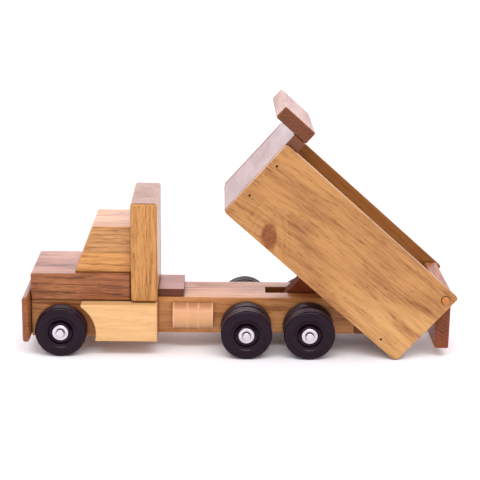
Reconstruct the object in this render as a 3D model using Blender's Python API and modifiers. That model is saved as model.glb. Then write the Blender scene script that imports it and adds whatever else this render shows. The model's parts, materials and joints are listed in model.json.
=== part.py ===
"""Wooden toy dump truck: a glued hardwood frame, ten wheels on three steel axles, a tipping bed
that turns on the rear axle, and a tailgate that hangs on two pegs.

Metres, +Z up. The front of the truck faces -X and its left side faces -Y. The origin is on the
ground, under the middle of the box around the truck. The truck stands with its bed tipped against
its stop and its tailgate hanging open.
"""
import math

import bmesh
import bpy
from mathutils import Vector

# ---------------------------------------------------------------- driving dimensions
LENGTH = 0.4257                 # front of the bumper to the rearmost corner of the tipped bed
WHEEL_RADIUS = 0.0254
WHEEL_WIDTH = 0.0149
GLUE_GAP = 0.0003               # left between two pieces that meet face to face
EDGE = 0.0008                   # sanded edge of a thin board
SOFT_EDGE = 0.0016              # sanded edge of a thick block
WHEEL_STEPS = 32
DRUM_STEPS = 24
CAP_STEPS = 16

FRONT_X = -LENGTH / 2
FRONT_AXLE_X = FRONT_X + 0.0368
MIDDLE_AXLE_X = FRONT_X + 0.2197
REAR_AXLE_X = FRONT_X + 0.2819
AXLE_Z = WHEEL_RADIUS * math.cos(math.pi / WHEEL_STEPS)    # a wheel stands on one of its flats
AXLE_RADIUS = 0.003175
BORE_RADIUS = AXLE_RADIUS + GLUE_GAP

# frame
BEAM_BOTTOM = 0.0163
BEAM_TOP = 0.0540
BEAM_HALF = 0.0254
BUMPER_THICKNESS = 0.0067
BUMPER_HALF = 0.0570
BUMPER_TOP = 0.0624
BEAM_FRONT_X = FRONT_X + BUMPER_THICKNESS + GLUE_GAP
BEAM_REAR_X = FRONT_X + 0.3289
REAR_BLOCK_END_X = BEAM_REAR_X + 0.0170
SLOT_FRONT_X = FRONT_X + 0.2393
SLOT_HALF = 0.0093
CHEEK_HALF = 0.0372
FENDER_HALF = 0.0519
FENDER_FRONT_X = FRONT_X + 0.0568
ARCH_X = FRONT_AXLE_X + 0.0013
ARCH_Z = AXLE_Z - 0.0012
ARCH_RADIUS = 0.0332

# hood and cab
HOOD_HALF = 0.0390
HOOD_TOP = 0.0818
CAB_BACK_FRONT_X = FRONT_X + 0.1057
CAB_BACK_REAR_X = FRONT_X + 0.1319
CAB_BACK_HALF = 0.0441
CAB_BACK_TOP = 0.1548
CAB_HALF = 0.0326
CAB_TOP = 0.1287
CAB_GLUE_LINE = 0.1014
WINDSCREEN_FOOT_X = FRONT_X + 0.0500
WINDSCREEN_HEAD_X = FRONT_X + 0.0682
REST_BLOCK_REAR_X = FRONT_X + 0.1574
REST_BLOCK_HALF = 0.0234
REST_BLOCK_TOP = 0.0619

# half drums on the sides of the beam
DRUM_FRONT_X = FRONT_X + 0.1465
DRUM_LENGTH = 0.0402
DRUM_RIM_RADIUS = 0.0137
DRUM_BODY_RADIUS = 0.0131
DRUM_RIM = 0.0021
DRUM_RIBS = (0.0142, 0.0252)
DRUM_RIB = 0.0016
DRUM_Z = 0.0355

# wheels and caps
FRONT_WHEEL_FACE = 0.0527       # distance of the outer face from the middle of the truck
REAR_WHEEL_FACE = 0.0572
DUAL_GAP = 0.0004
HUB_RADIUS = 0.0086
HUB_FACE = WHEEL_WIDTH - 0.0003
DISH_RADIUS = 0.0122
DISH_FLOOR = WHEEL_WIDTH - 0.0044
STEP_RADIUS = 0.0148
SHOULDER = 0.0030
CAP_RADIUS = 0.0082
CAP_FLANGE = 0.0008
CAP_DOME_RADIUS = 0.0044
CAP_HEIGHT = 0.0042
CAP_WALL = 0.0005
AXLE_STANDOUT = 0.0024          # how far an axle reaches past the hub face, inside its cap

# bed, measured level and from the rear axle that it turns on
TIP_ANGLE = math.radians(41.5)
BED_BOTTOM = 0.0370
BED_REAR = 0.0822
BED_LENGTH = 0.2293
BED_FRONT = BED_REAR - BED_LENGTH
SIDE_HEIGHT = 0.0886
SIDE_THICKNESS = 0.00635
REAR_BOTTOM_CORNER = 0.0045     # rounded off to clear the ground when the bed is tipped
REAR_TOP_CORNER = 0.0025
FRONT_CORNER = 0.0030
BED_HALF = 0.0550
BED_INSIDE = BED_HALF - SIDE_THICKNESS
BOARD = 0.0140                  # thickness of the floor, headboard, visor and tailgate
HEADBOARD_HEIGHT = 0.0998
VISOR_LENGTH = 0.0390
VISOR_HALF = 0.0486
VISOR_SETBACK = 0.0004          # how far the visor's rear edge stands behind the headboard's
STOP_GAP = 0.0005               # between the tipped bed and the sloped end of the frame
HINGE_HALF = 0.0087
HINGE_FRONT = -0.0349
HINGE_FRONT_BOTTOM = -0.0015
HINGE_EYE_RADIUS = 0.0090

# tailgate, hung on two pegs
PEG_RADIUS = 0.0040
PEG_HOLE_RADIUS = PEG_RADIUS + 0.0004
PEG_X = BED_REAR - 0.0082
PEG_Z = BED_BOTTOM + 0.0788
PEG_STANDOUT = 0.0030
PEG_DEPTH = 0.0140
TAILGATE_HEIGHT = 0.0600
TAILGATE_ABOVE_PEG = BOARD / 2
TAILGATE_SIDE_GAP = 0.0006

# brads through the bed sides: distance in front of the rear end, and height above the bottom
BRAD_PLACES = ((0.2221, 0.0670), (0.2221, 0.0286), (0.0273, 0.0072))
BRAD_RADIUS = 0.0008
BRAD_LENGTH = 0.0150
BRAD_SINK = 0.0002

SIDES = (("left", -1), ("right", 1))

# ---------------------------------------------------------------- materials
TIMBERS = {
    "walnut": (0.155, 0.065, 0.036, 1.0),
    "oak": (0.560, 0.300, 0.115, 1.0),
    "cherry": (0.500, 0.235, 0.095, 1.0),
    "maple": (0.790, 0.530, 0.270, 1.0),
}


def make_material(name, colour, roughness, metallic=0.0):
    material = bpy.data.materials.new(name)
    material.use_nodes = True
    shader = material.node_tree.nodes["Principled BSDF"]
    shader.inputs["Base Color"].default_value = colour
    shader.inputs["Roughness"].default_value = roughness
    shader.inputs["Metallic"].default_value = metallic
    return material


def make_materials():
    materials = {name: make_material(name, colour, 0.5) for name, colour in TIMBERS.items()}
    materials["black_plastic"] = make_material("black_plastic", (0.018, 0.016, 0.020, 1.0), 0.45)
    materials["chrome"] = make_material("chrome", (0.80, 0.80, 0.82, 1.0), 0.15, 1.0)
    materials["steel"] = make_material("steel", (0.45, 0.45, 0.46, 1.0), 0.35, 1.0)
    return materials


# ---------------------------------------------------------------- modelling helpers
def clear_scene():
    for obj in list(bpy.data.objects):
        bpy.data.objects.remove(obj, do_unlink=True)


def new_collection(name):
    collection = bpy.data.collections.new(name)
    bpy.context.scene.collection.children.link(collection)
    return collection


def place(name, data, collection, location=(0, 0, 0), rotation=(0, 0, 0), parent=None):
    obj = bpy.data.objects.new(name, data)
    collection.objects.link(obj)
    obj.location = location
    obj.rotation_euler = rotation
    obj.parent = parent
    return obj


def finish(obj, material):
    obj.data.materials.append(material)
    return obj


def soften(obj, width):
    bevel = obj.modifiers.new("sanded_edges", "BEVEL")
    bevel.width = width
    bevel.segments = 2
    bevel.limit_method = "ANGLE"
    return obj


def cut(obj, cutter):
    boolean = obj.modifiers.new("cut_" + cutter.name, "BOOLEAN")
    boolean.operation = "DIFFERENCE"
    boolean.solver = "EXACT"
    boolean.object = cutter


def as_cutter(obj):
    obj.hide_render = True
    obj.display_type = "WIRE"
    return obj


def box_mesh(name, size):
    mesh = bpy.data.meshes.new(name)
    bm = bmesh.new()
    bmesh.ops.create_cube(bm, size=1.0)
    bmesh.ops.scale(bm, vec=size, verts=bm.verts)
    bm.to_mesh(mesh)
    bm.free()
    return mesh


def slice_mesh(mesh, point, normal):
    """Cut away what lies on the normal's side of a plane, and close the cut."""
    bm = bmesh.new()
    bm.from_mesh(mesh)
    geometry = list(bm.verts) + list(bm.edges) + list(bm.faces)
    bmesh.ops.bisect_plane(bm, geom=geometry, plane_co=point, plane_no=normal, clear_outer=True)
    rim = [edge for edge in bm.edges if edge.is_boundary]
    bmesh.ops.holes_fill(bm, edges=rim)
    bmesh.ops.recalc_face_normals(bm, faces=bm.faces)
    bm.to_mesh(mesh)
    bm.free()


def box(name, low, high, collection, parent=None, slices=()):
    """A box between two corners. Each slice is a plane (point, normal) in the corners' frame."""
    low = Vector(low)
    high = Vector(high)
    centre = (low + high) / 2
    mesh = box_mesh(name, high - low)
    for point, normal in slices:
        slice_mesh(mesh, Vector(point) - centre, normal)
    return place(name, mesh, collection, location=centre, parent=parent)


def cross_cylinder(name, x, z, radius, y_from, y_to, collection, parent=None, segments=24):
    """A cylinder along Y."""
    mesh = bpy.data.meshes.new(name)
    bm = bmesh.new()
    depth = abs(y_to - y_from)
    bmesh.ops.create_cone(bm, cap_ends=True, segments=segments, radius1=radius, radius2=radius,
                          depth=depth)
    bm.to_mesh(mesh)
    bm.free()
    mesh.shade_smooth()
    mesh.set_sharp_from_angle(angle=math.radians(40))
    place_at = (x, (y_from + y_to) / 2, z)
    return place(name, mesh, collection, location=place_at, rotation=(math.pi / 2, 0, 0),
                 parent=parent)


def arc(centre_x, centre_z, radius, start, end, count):
    """Points of an arc in the XZ plane, from the start angle to the end angle, in degrees."""
    points = []
    for step in range(count + 1):
        angle = math.radians(start + (end - start) * step / count)
        points.append((centre_x + radius * math.cos(angle), centre_z + radius * math.sin(angle)))
    return points


def board(name, outline, y_from, y_to, collection, parent=None):
    """A flat board: an outline in the XZ plane, sawn out between two Y values."""
    curve = bpy.data.curves.new(name, "CURVE")
    curve.dimensions = "2D"
    curve.fill_mode = "BOTH"
    curve.extrude = abs(y_to - y_from) / 2
    spline = curve.splines.new("POLY")
    spline.points.add(len(outline) - 1)
    for point, (x, z) in zip(spline.points, outline):
        point.co = (x, z, 0, 1)
    spline.use_cyclic_u = True
    drawn = bpy.data.objects.new(name + "_outline", curve)
    bpy.context.scene.collection.objects.link(drawn)
    bpy.context.view_layer.update()
    evaluated = drawn.evaluated_get(bpy.context.evaluated_depsgraph_get())
    mesh = bpy.data.meshes.new_from_object(evaluated)
    mesh.name = name
    bpy.data.objects.remove(drawn, do_unlink=True)
    bpy.data.curves.remove(curve)
    bm = bmesh.new()
    bm.from_mesh(mesh)
    bmesh.ops.remove_doubles(bm, verts=bm.verts, dist=1e-6)
    bmesh.ops.dissolve_limit(bm, angle_limit=math.radians(0.5), verts=bm.verts, edges=bm.edges)
    bmesh.ops.recalc_face_normals(bm, faces=bm.faces)
    bm.to_mesh(mesh)
    bm.free()
    return place(name, mesh, collection, location=(0, (y_from + y_to) / 2, 0),
                 rotation=(math.pi / 2, 0, 0), parent=parent)


def turned_mesh(name, profile, closed, start=0.0):
    """The profile of a turned piece: (radius, height) pairs, down the outside from the top."""
    mesh = bpy.data.meshes.new(name)
    bm = bmesh.new()
    across = math.cos(start)
    along = math.sin(start)
    verts = [bm.verts.new((radius * across, radius * along, height)) for radius, height in profile]
    for first, second in zip(verts, verts[1:]):
        bm.edges.new((first, second))
    if closed:
        bm.edges.new((verts[-1], verts[0]))
    bm.to_mesh(mesh)
    bm.free()
    return mesh


def turn(obj, steps):
    screw = obj.modifiers.new("turned", "SCREW")
    screw.axis = "Z"
    screw.angle = 2 * math.pi
    screw.steps = steps
    screw.render_steps = steps
    screw.use_merge_vertices = True
    screw.merge_threshold = 0.00001
    screw.use_smooth_shade = True
    return obj


def side_rotation(sign):
    """Turns a piece's +Z to face outwards on the left (-Y) or the right (+Y) side."""
    return (-sign * math.pi / 2, 0, 0)


# ---------------------------------------------------------------- frame
def stop_plane():
    """The sloped rear end of the frame, parallel to the underside of the tipped bed."""
    normal = Vector((math.sin(TIP_ANGLE), 0, math.cos(TIP_ANGLE)))
    pivot = Vector((REAR_AXLE_X, 0, AXLE_Z))
    return pivot + normal * (BED_BOTTOM - STOP_GAP), normal


def make_frame(parts, cutters, timber):
    beam = box("chassis_beam", (BEAM_FRONT_X, -BEAM_HALF, BEAM_BOTTOM),
               (BEAM_REAR_X, BEAM_HALF, BEAM_TOP), parts, slices=[stop_plane()])
    soften(finish(beam, timber["cherry"]), SOFT_EDGE / 2)
    slot = box("slot_cutter", (SLOT_FRONT_X, -SLOT_HALF, 0),
               (BEAM_REAR_X + SLOT_HALF, SLOT_HALF, 2 * BEAM_TOP), cutters)
    cut(beam, as_cutter(slot))

    rear_block = box("rear_block", (BEAM_REAR_X + GLUE_GAP, -BEAM_HALF, BEAM_BOTTOM),
                     (REAR_BLOCK_END_X, BEAM_HALF, BEAM_TOP), parts, slices=[stop_plane()])
    soften(finish(rear_block, timber["walnut"]), EDGE)

    bumper = box("bumper", (FRONT_X, -BUMPER_HALF, BEAM_BOTTOM),
                 (FRONT_X + BUMPER_THICKNESS, BUMPER_HALF, BUMPER_TOP), parts)
    soften(finish(bumper, timber["walnut"]), 2 * EDGE)

    cheeks = []
    for side, sign in SIDES:
        inner = sign * (BEAM_HALF + GLUE_GAP)
        outer = sign * CHEEK_HALF
        cheek = box("front_cheek_" + side, (BEAM_FRONT_X, min(inner, outer), BEAM_BOTTOM),
                    (CAB_BACK_REAR_X, max(inner, outer), BEAM_TOP), parts)
        soften(finish(cheek, timber["walnut"]), EDGE)
        cheeks.append(cheek)

    cut_axle_holes(beam, cheeks, cutters)


def cut_axle_holes(beam, cheeks, cutters):
    reach = 2 * CHEEK_HALF
    for place_name, x in (("front", FRONT_AXLE_X), ("middle", MIDDLE_AXLE_X), ("rear", REAR_AXLE_X)):
        hole = cross_cylinder("axle_hole_" + place_name, x, AXLE_Z, BORE_RADIUS, -reach, reach, cutters)
        cut(beam, as_cutter(hole))
        if place_name == "front":
            for cheek in cheeks:
                cut(cheek, hole)


def fender_outline():
    """A board from the wheel arch back to the cab back, with the arch as an arc."""
    top_angle = math.degrees(math.acos((FENDER_FRONT_X - ARCH_X) / ARCH_RADIUS))
    bottom_angle = -math.degrees(math.asin((ARCH_Z - BEAM_BOTTOM) / ARCH_RADIUS))
    arch = arc(ARCH_X, ARCH_Z, ARCH_RADIUS, top_angle, bottom_angle, 12)
    return [(FENDER_FRONT_X, BEAM_TOP)] + arch + [(CAB_BACK_REAR_X, BEAM_BOTTOM),
                                                  (CAB_BACK_REAR_X, BEAM_TOP)]


def make_fenders(parts, timber):
    for side, sign in SIDES:
        fender = board("fender_" + side, fender_outline(), sign * (CHEEK_HALF + GLUE_GAP),
                       sign * FENDER_HALF, parts)
        soften(finish(fender, timber["maple"]), EDGE)


def make_hood_and_cab(parts, timber):
    deck = BEAM_TOP + GLUE_GAP
    hood = box("hood_block", (BEAM_FRONT_X, -HOOD_HALF, deck),
               (CAB_BACK_FRONT_X - GLUE_GAP, HOOD_HALF, HOOD_TOP), parts)
    soften(finish(hood, timber["walnut"]), EDGE)

    cab_back = box("cab_back", (CAB_BACK_FRONT_X, -CAB_BACK_HALF, deck),
                   (CAB_BACK_REAR_X, CAB_BACK_HALF, CAB_BACK_TOP), parts)
    soften(finish(cab_back, timber["oak"]), SOFT_EDGE)

    rise = CAB_TOP - HOOD_TOP
    run = WINDSCREEN_HEAD_X - WINDSCREEN_FOOT_X
    windscreen = ((WINDSCREEN_FOOT_X, 0, HOOD_TOP), (-rise, 0, run))
    layers = (("cab_lower", HOOD_TOP + GLUE_GAP, CAB_GLUE_LINE, "maple"),
              ("cab_upper", CAB_GLUE_LINE + GLUE_GAP, CAB_TOP, "oak"))
    for name, bottom, top, wood in layers:
        layer = box(name, (WINDSCREEN_FOOT_X - EDGE, -CAB_HALF, bottom),
                    (CAB_BACK_FRONT_X - GLUE_GAP, CAB_HALF, top), parts, slices=[windscreen])
        soften(finish(layer, timber[wood]), EDGE / 2)

    rest = box("bed_rest_block", (CAB_BACK_REAR_X + GLUE_GAP, -REST_BLOCK_HALF, deck),
               (REST_BLOCK_REAR_X, REST_BLOCK_HALF, REST_BLOCK_TOP), parts)
    soften(finish(rest, timber["walnut"]), EDGE / 2)


def drum_profile():
    """Half of the drum's lengthwise section: rims at both ends and two ribs between them."""
    bands = [(0.0, DRUM_RIM)] + [(rib, rib + DRUM_RIB) for rib in DRUM_RIBS]
    bands.append((DRUM_LENGTH - DRUM_RIM, DRUM_LENGTH))
    profile = []
    for start, end in bands:
        profile += [(DRUM_BODY_RADIUS, start), (DRUM_RIM_RADIUS, start + EDGE / 4),
                    (DRUM_RIM_RADIUS, end - EDGE / 4), (DRUM_BODY_RADIUS, end)]
    return [(0.0, DRUM_LENGTH)] + profile[::-1] + [(0.0, 0.0)]


def make_drums(parts, cutters, timber):
    for side, sign in SIDES:
        mesh = turned_mesh("fuel_drum_" + side, drum_profile(), closed=False)
        flat = sign * (BEAM_HALF + GLUE_GAP)
        drum = place("fuel_drum_" + side, mesh, parts, location=(DRUM_FRONT_X, flat, DRUM_Z),
                     rotation=(0, math.pi / 2, 0))
        finish(turn(drum, DRUM_STEPS), timber["maple"])
        inward = flat - sign * 2 * DRUM_RIM_RADIUS
        saw = box("drum_saw_" + side, (DRUM_FRONT_X - EDGE, min(flat, inward), 0),
                  (DRUM_FRONT_X + DRUM_LENGTH + EDGE, max(flat, inward), 2 * DRUM_Z), cutters)
        cut(drum, as_cutter(saw))


# ---------------------------------------------------------------- axles, wheels and caps
def wheel_profile():
    """Tyre, dished face and hub, from the hub face outwards, over the tread and up the bore."""
    top_shoulder = arc(WHEEL_RADIUS - SHOULDER, WHEEL_WIDTH - SHOULDER, SHOULDER, 90, 0, 2)
    bottom_shoulder = arc(WHEEL_RADIUS - SHOULDER, SHOULDER, SHOULDER, 0, -90, 2)
    face = [(BORE_RADIUS, HUB_FACE), (HUB_RADIUS, HUB_FACE), (HUB_RADIUS, DISH_FLOOR),
            (DISH_RADIUS, DISH_FLOOR), (DISH_RADIUS + EDGE / 2, HUB_FACE - EDGE),
            (STEP_RADIUS, HUB_FACE - EDGE / 2)]
    return face + top_shoulder + bottom_shoulder + [(BORE_RADIUS, 0.0)]


def cap_profile():
    """A thin domed push cap with a flat flange, open underneath for the end of the axle."""
    dome = arc(0, CAP_FLANGE, CAP_DOME_RADIUS, 90, 0, 4)
    squash = (CAP_HEIGHT - CAP_FLANGE) / CAP_DOME_RADIUS
    dome = [(max(radius, 0.0), CAP_FLANGE + (height - CAP_FLANGE) * squash) for radius, height in dome]
    dome[0] = (0.0, CAP_HEIGHT)
    inner = CAP_DOME_RADIUS - CAP_WALL
    flange = [(CAP_RADIUS - CAP_FLANGE / 2, CAP_FLANGE), (CAP_RADIUS, CAP_FLANGE / 2), (CAP_RADIUS, 0.0)]
    inside = [(inner, 0.0), (inner, CAP_FLANGE), (inner * 0.8, CAP_HEIGHT - 2 * CAP_WALL),
              (0.0, CAP_HEIGHT - CAP_WALL)]
    return dome + flange + inside


def wheel_stations():
    """Name, axle position, side and outer face of every wheel."""
    stations = []
    for side, sign in SIDES:
        stations.append(("front_wheel_" + side, FRONT_AXLE_X, sign, FRONT_WHEEL_FACE))
        for axle, x in (("middle", MIDDLE_AXLE_X), ("rear", REAR_AXLE_X)):
            inner_face = REAR_WHEEL_FACE - WHEEL_WIDTH - DUAL_GAP
            stations.append((axle + "_wheel_" + side + "_outer", x, sign, REAR_WHEEL_FACE))
            stations.append((axle + "_wheel_" + side + "_inner", x, sign, inner_face))
    return stations


def make_wheels(parts, materials):
    mesh = turned_mesh("wheel", wheel_profile(), closed=True, start=math.pi / WHEEL_STEPS)
    mesh.materials.append(materials["black_plastic"])
    for name, x, sign, face in wheel_stations():
        inside = sign * (face - WHEEL_WIDTH)
        wheel = place(name, mesh, parts, location=(x, inside, AXLE_Z), rotation=side_rotation(sign))
        turn(wheel, WHEEL_STEPS)


def make_axles(parts, materials):
    cap_mesh = turned_mesh("axle_cap", cap_profile(), closed=False)
    cap_mesh.materials.append(materials["chrome"])
    axles = (("front", FRONT_AXLE_X, FRONT_WHEEL_FACE), ("middle", MIDDLE_AXLE_X, REAR_WHEEL_FACE),
             ("rear", REAR_AXLE_X, REAR_WHEEL_FACE))
    for axle, x, face in axles:
        hub_face = face - WHEEL_WIDTH + HUB_FACE
        end = hub_face + AXLE_STANDOUT
        rod = cross_cylinder("axle_" + axle, x, AXLE_Z, AXLE_RADIUS, -end, end, parts)
        finish(rod, materials["steel"])
        for side, sign in SIDES:
            cap_at = (x, sign * (hub_face + GLUE_GAP), AXLE_Z)
            cap = place("axle_cap_" + axle + "_" + side, cap_mesh, parts, location=cap_at,
                        rotation=side_rotation(sign))
            turn(cap, CAP_STEPS)


# ---------------------------------------------------------------- tipping bed
def make_bed_hinge(parts):
    """The bed's turning axis: its pieces are laid out level and this tips them."""
    return place("bed_hinge", None, parts, location=(REAR_AXLE_X, 0, AXLE_Z),
                 rotation=(0, TIP_ANGLE, 0))


def side_outline():
    top = BED_BOTTOM + SIDE_HEIGHT
    corners = ((BED_REAR, -1, top, -1, REAR_TOP_CORNER, 90),
               (BED_FRONT, 1, top, -1, FRONT_CORNER, 180),
               (BED_FRONT, 1, BED_BOTTOM, 1, FRONT_CORNER, 270),
               (BED_REAR, -1, BED_BOTTOM, 1, REAR_BOTTOM_CORNER, 360))
    outline = []
    for x, inward, z, upward, radius, end in corners:
        outline += arc(x + inward * radius, z + upward * radius, radius, end - 90, end, 4)
    return outline


def floor_outline(front):
    """The floor's lower rear edge is rounded like the sides, which clear the ground by a hair."""
    radius = REAR_BOTTOM_CORNER
    rounded = arc(BED_REAR - radius, BED_BOTTOM + radius, radius, 270, 360, 4)
    top = BED_BOTTOM + BOARD
    return [(front, top), (front, BED_BOTTOM)] + rounded + [(BED_REAR, top)]


def hinge_outline():
    """A block under the bed that reaches down the slot to an eye around the rear axle."""
    top = BED_BOTTOM - GLUE_GAP
    tangent = 270 - math.degrees(math.atan2(HINGE_EYE_RADIUS + HINGE_FRONT_BOTTOM, -HINGE_FRONT))
    eye = arc(0, 0, HINGE_EYE_RADIUS, 360, tangent, 6)
    return [(HINGE_FRONT, top), (HINGE_EYE_RADIUS, top)] + eye + [(HINGE_FRONT, HINGE_FRONT_BOTTOM)]


def make_bed(parts, cutters, materials, hinge):
    headboard_rear = BED_FRONT + BOARD
    floor = board("bed_floor", floor_outline(headboard_rear + GLUE_GAP), -BED_INSIDE + GLUE_GAP,
                  BED_INSIDE - GLUE_GAP, parts, parent=hinge)
    soften(finish(floor, materials["oak"]), EDGE / 2)

    headboard = box("headboard", (BED_FRONT, -BED_INSIDE + GLUE_GAP, BED_BOTTOM),
                    (headboard_rear, BED_INSIDE - GLUE_GAP, BED_BOTTOM + HEADBOARD_HEIGHT), parts,
                    parent=hinge)
    soften(finish(headboard, materials["walnut"]), EDGE / 2)

    visor_bottom = BED_BOTTOM + HEADBOARD_HEIGHT + GLUE_GAP
    visor_rear = headboard_rear + VISOR_SETBACK
    visor = box("visor", (visor_rear - VISOR_LENGTH, -VISOR_HALF, visor_bottom),
                (visor_rear, VISOR_HALF, visor_bottom + BOARD), parts, parent=hinge)
    soften(finish(visor, materials["walnut"]), SOFT_EDGE)

    block = board("hinge_block", hinge_outline(), -HINGE_HALF, HINGE_HALF, parts, parent=hinge)
    soften(finish(block, materials["walnut"]), EDGE / 2)
    eye_hole = cross_cylinder("hinge_eye_hole", 0, 0, BORE_RADIUS, -2 * HINGE_HALF, 2 * HINGE_HALF,
                              cutters, parent=hinge)
    cut(block, as_cutter(eye_hole))

    for side, sign in SIDES:
        panel = board("bed_side_" + side, side_outline(), sign * BED_INSIDE, sign * BED_HALF, parts,
                      parent=hinge)
        soften(finish(panel, materials["cherry"]), EDGE)
        peg_hole = cross_cylinder("peg_hole_" + side, PEG_X, PEG_Z, PEG_HOLE_RADIUS, sign * BED_INSIDE / 2,
                                  sign * 2 * BED_HALF, cutters, parent=hinge)
        cut(panel, as_cutter(peg_hole))
        drive_brads(side, sign, panel, headboard, floor, parts, cutters, materials, hinge)


def drive_brads(side, sign, panel, headboard, floor, parts, cutters, materials, hinge):
    """Brads from the outside of a bed side into the headboard and into the floor."""
    for number, (forward, up) in enumerate(BRAD_PLACES, start=1):
        x = BED_REAR - forward
        z = BED_BOTTOM + up
        head = sign * (BED_HALF - BRAD_SINK)
        point = sign * (BED_HALF - BRAD_SINK - BRAD_LENGTH)
        name = "brad_" + side + "_" + str(number)
        brad = cross_cylinder(name, x, z, BRAD_RADIUS, point, head, parts, parent=hinge, segments=12)
        finish(brad, materials["steel"])
        hole = cross_cylinder(name + "_hole", x, z, BRAD_RADIUS + GLUE_GAP, point - sign * GLUE_GAP,
                              sign * 2 * BED_HALF, cutters, parent=hinge, segments=12)
        as_cutter(hole)
        cut(panel, hole)
        cut(headboard if x < BED_FRONT + BOARD else floor, hole)


# ---------------------------------------------------------------- tailgate
def make_tailgate(parts, cutters, materials, bed_hinge):
    """The tailgate hangs straight down from its pegs, so it turns back by the bed's tip angle."""
    hinge = place("tailgate_hinge", None, parts, location=(PEG_X, 0, PEG_Z),
                  rotation=(0, -TIP_ANGLE, 0), parent=bed_hinge)
    half_width = BED_INSIDE - TAILGATE_SIDE_GAP
    gate = box("tailgate", (-BOARD / 2, -half_width, TAILGATE_ABOVE_PEG - TAILGATE_HEIGHT),
               (BOARD / 2, half_width, TAILGATE_ABOVE_PEG), parts, parent=hinge)
    soften(finish(gate, materials["walnut"]), SOFT_EDGE)
    for side, sign in SIDES:
        inner_end = sign * (half_width - PEG_DEPTH)
        peg = cross_cylinder("tailgate_peg_" + side, 0, 0, PEG_RADIUS, inner_end,
                             sign * (BED_HALF + PEG_STANDOUT), parts, parent=hinge)
        soften(finish(peg, materials["maple"]), EDGE / 2)
        hole = cross_cylinder("tailgate_hole_" + side, 0, 0, PEG_RADIUS + GLUE_GAP,
                              inner_end - sign * GLUE_GAP, sign * BED_HALF, cutters, parent=hinge)
        cut(gate, as_cutter(hole))


def main():
    clear_scene()
    parts = new_collection("toy_dump_truck")
    cutters = new_collection("cutters")
    materials = make_materials()
    make_frame(parts, cutters, materials)
    make_fenders(parts, materials)
    make_hood_and_cab(parts, materials)
    make_drums(parts, cutters, materials)
    make_wheels(parts, materials)
    make_axles(parts, materials)
    hinge = make_bed_hinge(parts)
    make_bed(parts, cutters, materials, hinge)
    make_tailgate(parts, cutters, materials, hinge)
    bpy.context.view_layer.update()


main()
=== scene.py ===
"""Wooden toy dump truck: its timbers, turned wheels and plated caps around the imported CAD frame."""
import json
import math

import bmesh
import bpy
from mathutils import Matrix, Vector


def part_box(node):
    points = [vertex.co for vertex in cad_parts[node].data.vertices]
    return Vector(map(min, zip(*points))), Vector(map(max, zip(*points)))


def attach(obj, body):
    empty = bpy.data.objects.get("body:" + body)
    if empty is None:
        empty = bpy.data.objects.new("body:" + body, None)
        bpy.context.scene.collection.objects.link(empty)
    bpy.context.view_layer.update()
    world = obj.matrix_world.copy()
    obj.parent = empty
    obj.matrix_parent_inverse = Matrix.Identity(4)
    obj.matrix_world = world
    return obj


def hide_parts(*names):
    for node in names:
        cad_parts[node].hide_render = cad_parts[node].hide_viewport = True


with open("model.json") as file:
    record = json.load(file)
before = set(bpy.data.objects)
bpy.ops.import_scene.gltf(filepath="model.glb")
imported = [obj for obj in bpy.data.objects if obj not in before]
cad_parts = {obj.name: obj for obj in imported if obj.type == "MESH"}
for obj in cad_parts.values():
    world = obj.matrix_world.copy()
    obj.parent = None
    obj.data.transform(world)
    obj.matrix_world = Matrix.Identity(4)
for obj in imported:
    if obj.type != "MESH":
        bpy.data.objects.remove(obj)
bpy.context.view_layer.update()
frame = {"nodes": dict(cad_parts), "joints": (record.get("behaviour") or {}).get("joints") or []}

JOINTS = {joint["name"]: joint for joint in frame["joints"]}
PIVOT = Vector(JOINTS["bed_tip"]["pos_m"])
TIP = math.radians(JOINTS["bed_tip"]["range_deg"][1])
GATE = Vector(JOINTS["tailgate_swing"]["pos_m"])
BED = Matrix.Translation(PIVOT) @ Matrix.Rotation(TIP, 4, "Y")
LEVEL = Matrix.Identity(4)
SIDES = (("left", -1), ("right", 1))

# cab, fenders and wheels
WINDSCREEN_RUN = 0.0182 / 0.0469  # how far back the windscreen leans for each metre that it rises
GLUE_OVERLAP = 0.0003             # how far the cab's upper layer reaches into its glue line
ARCH_OFFSET = (0.0013, -0.0011)   # the wheel arch's centre, from the front axle
ARCH_RADIUS = 0.0332
CLEAR_OF_GROUND = 0.00002         # keeps the tyres' lowest points just above the floor

# bed, measured level and from the rear axle that it turns on
BED_BOTTOM = 0.0370
BED_REAR = 0.0822
BED_LENGTH = 0.2293
SIDE_HEIGHT = 0.0886
BED_HALF = 0.0550
BED_INSIDE = 0.04865
BOARD = 0.0140
HEADBOARD_HEIGHT = 0.0998
VISOR_LENGTH = 0.0390
VISOR_HALF = 0.0486
VISOR_SETBACK = 0.0004
PEG_X = BED_REAR - 0.0082
PEG_Z = BED_BOTTOM + 0.0788
PEG_HOLE = 0.0043
LOOSE = 0.0003                    # play between the headboard, the visor and their neighbours
# (distance ahead of the bed's rear end, height above its bottom)
BRADS = ((0.2221, 0.0670), (0.2221, 0.0286), (0.0273, 0.0072))

# rounding of the boards' edges
BEVEL_SEGMENTS = 4
BEVEL_ANGLE = math.radians(35)    # an edge that turns by less than this stays as it is

# camera, fitted to the photo by its wheels, ground and square edges
CAMERA_AT = (-0.02304, -1.25490, 0.47948)
CAMERA_PITCH, CAMERA_YAW, CAMERA_ROLL = (math.radians(angle) for angle in (16.55, 1.06, 0.83))
CAMERA_LENS = 97.63

# wood: noise cells per metre, along the grain and across it
WANDER_CELLS = (5, 16, 16)
FIBRE_CELLS = (26, 420, 420)
FINE_CELLS = (85, 900, 900)
PATCH_CELLS = (11, 46, 46)
DASH_CELLS = (115, 780, 780)
KNOT_RIM_CELLS = (150, 60, 150)
KNOT_SWIRL_CELLS = (260, 90, 90)
SEED_STEP = (0.37, 0.53, 0.71)
WANDER = 0.014                    # how far the growth rings stray, in metres
WEAR_AND_HIGHLIGHT_RADIUS = 0.0016              # how round an edge has to be to look rubbed and carry a painted highlight
CREVICE_REACH = 0.0035            # how far the painted shade and oil of a joint reach
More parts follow.
